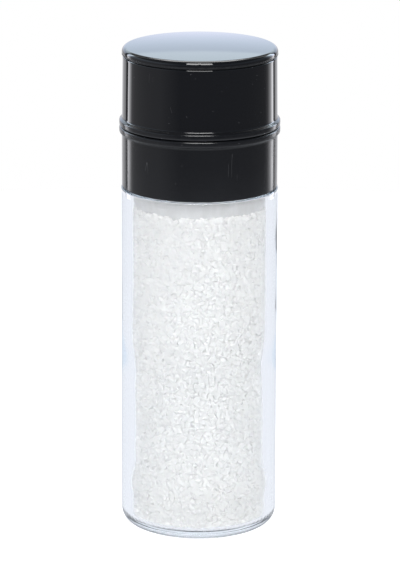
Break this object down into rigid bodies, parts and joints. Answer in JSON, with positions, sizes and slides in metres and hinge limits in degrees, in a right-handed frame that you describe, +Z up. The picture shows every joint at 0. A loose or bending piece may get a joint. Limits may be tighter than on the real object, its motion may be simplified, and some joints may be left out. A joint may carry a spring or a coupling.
{
  "type": "salt mill",
  "caption": "Table salt mill: thick-walled glass jar of coarse salt under a gloss black twist head with ceramic burrs, a fluted grind adjuster and a pull-off cap with a domed disc.",
  "frame": {"origin": "centre of the jar's standing ring, on the table plane", "axes": "+Z up along the mill's axis, towards the cap; +X and +Y are square to it, with a bridge screw at 30 degrees from +X"},
  "size_m": [0.0492, 0.0492, 0.1515],
  "materials": {
    "clear_glass": "clear, polished",
    "coarse_salt": "translucent crystals",
    "silicone": "satin",
    "gloss_black_plastic": "high gloss",
    "matt_black_plastic": "fine spark texture",
    "white_plastic": "satin",
    "burr_ceramic": "unglazed, fine",
    "steel": "bright",
    "brass": "machined"
  },
  "bodies": {
    "jar": {"glass_jar": "clear_glass", "salt_fill": "coarse_salt"},
    "carrier": {"burr_carrier": "matt_black_plastic", "stator_burr": "burr_ceramic", "stator_clip": "steel", "neck_gasket": "silicone"},
    "head": {"grip_collar": "gloss_black_plastic", "drive_bridge": "matt_black_plastic", "bridge_screws": "steel", "slip_washer": "white_plastic"},
    "spindle": {"rotor_spindle": "steel", "rotor_burr": "burr_ceramic", "rotor_washer": "steel", "rotor_nut": "steel", "spring_seat": "steel", "burr_spring": "steel"},
    "knob": {"adjuster_knob": "matt_black_plastic", "knob_insert": "brass", "knob_washer": "white_plastic"},
    "cap": {"cap_shell": "gloss_black_plastic", "top_disc": "gloss_black_plastic", "cap_liner": "white_plastic"}
  },
  "joints": [
    {"name": "head_lift", "type": "slide", "parent": "jar", "child": "carrier", "axis": [0, 0, 1], "range_m": [0, 0.03]},
    {"name": "grind_turn", "type": "hinge", "parent": "carrier", "child": "head", "pos_m": [0, 0, 0.115], "axis": [0, 0, 1], "continuous": true},
    {"name": "adjuster_turn", "type": "hinge", "parent": "head", "child": "knob", "pos_m": [0, 0, 0.13], "axis": [0, 0, 1], "range_deg": [-360, 180]},
    {"name": "rotor_shift", "type": "slide", "parent": "head", "child": "spindle", "axis": [0, 0, 1], "range_m": [-0.0004, 0.0008], "deforming": ["burr_spring"]},
    {"name": "cap_lift", "type": "slide", "parent": "head", "child": "cap", "axis": [0, 0, 1], "range_m": [0, 0.04]}
  ],
  "couplings": [
    {"joint": "adjuster_turn", "follows": "rotor_shift", "rad_per_m": -7854}
  ]
}
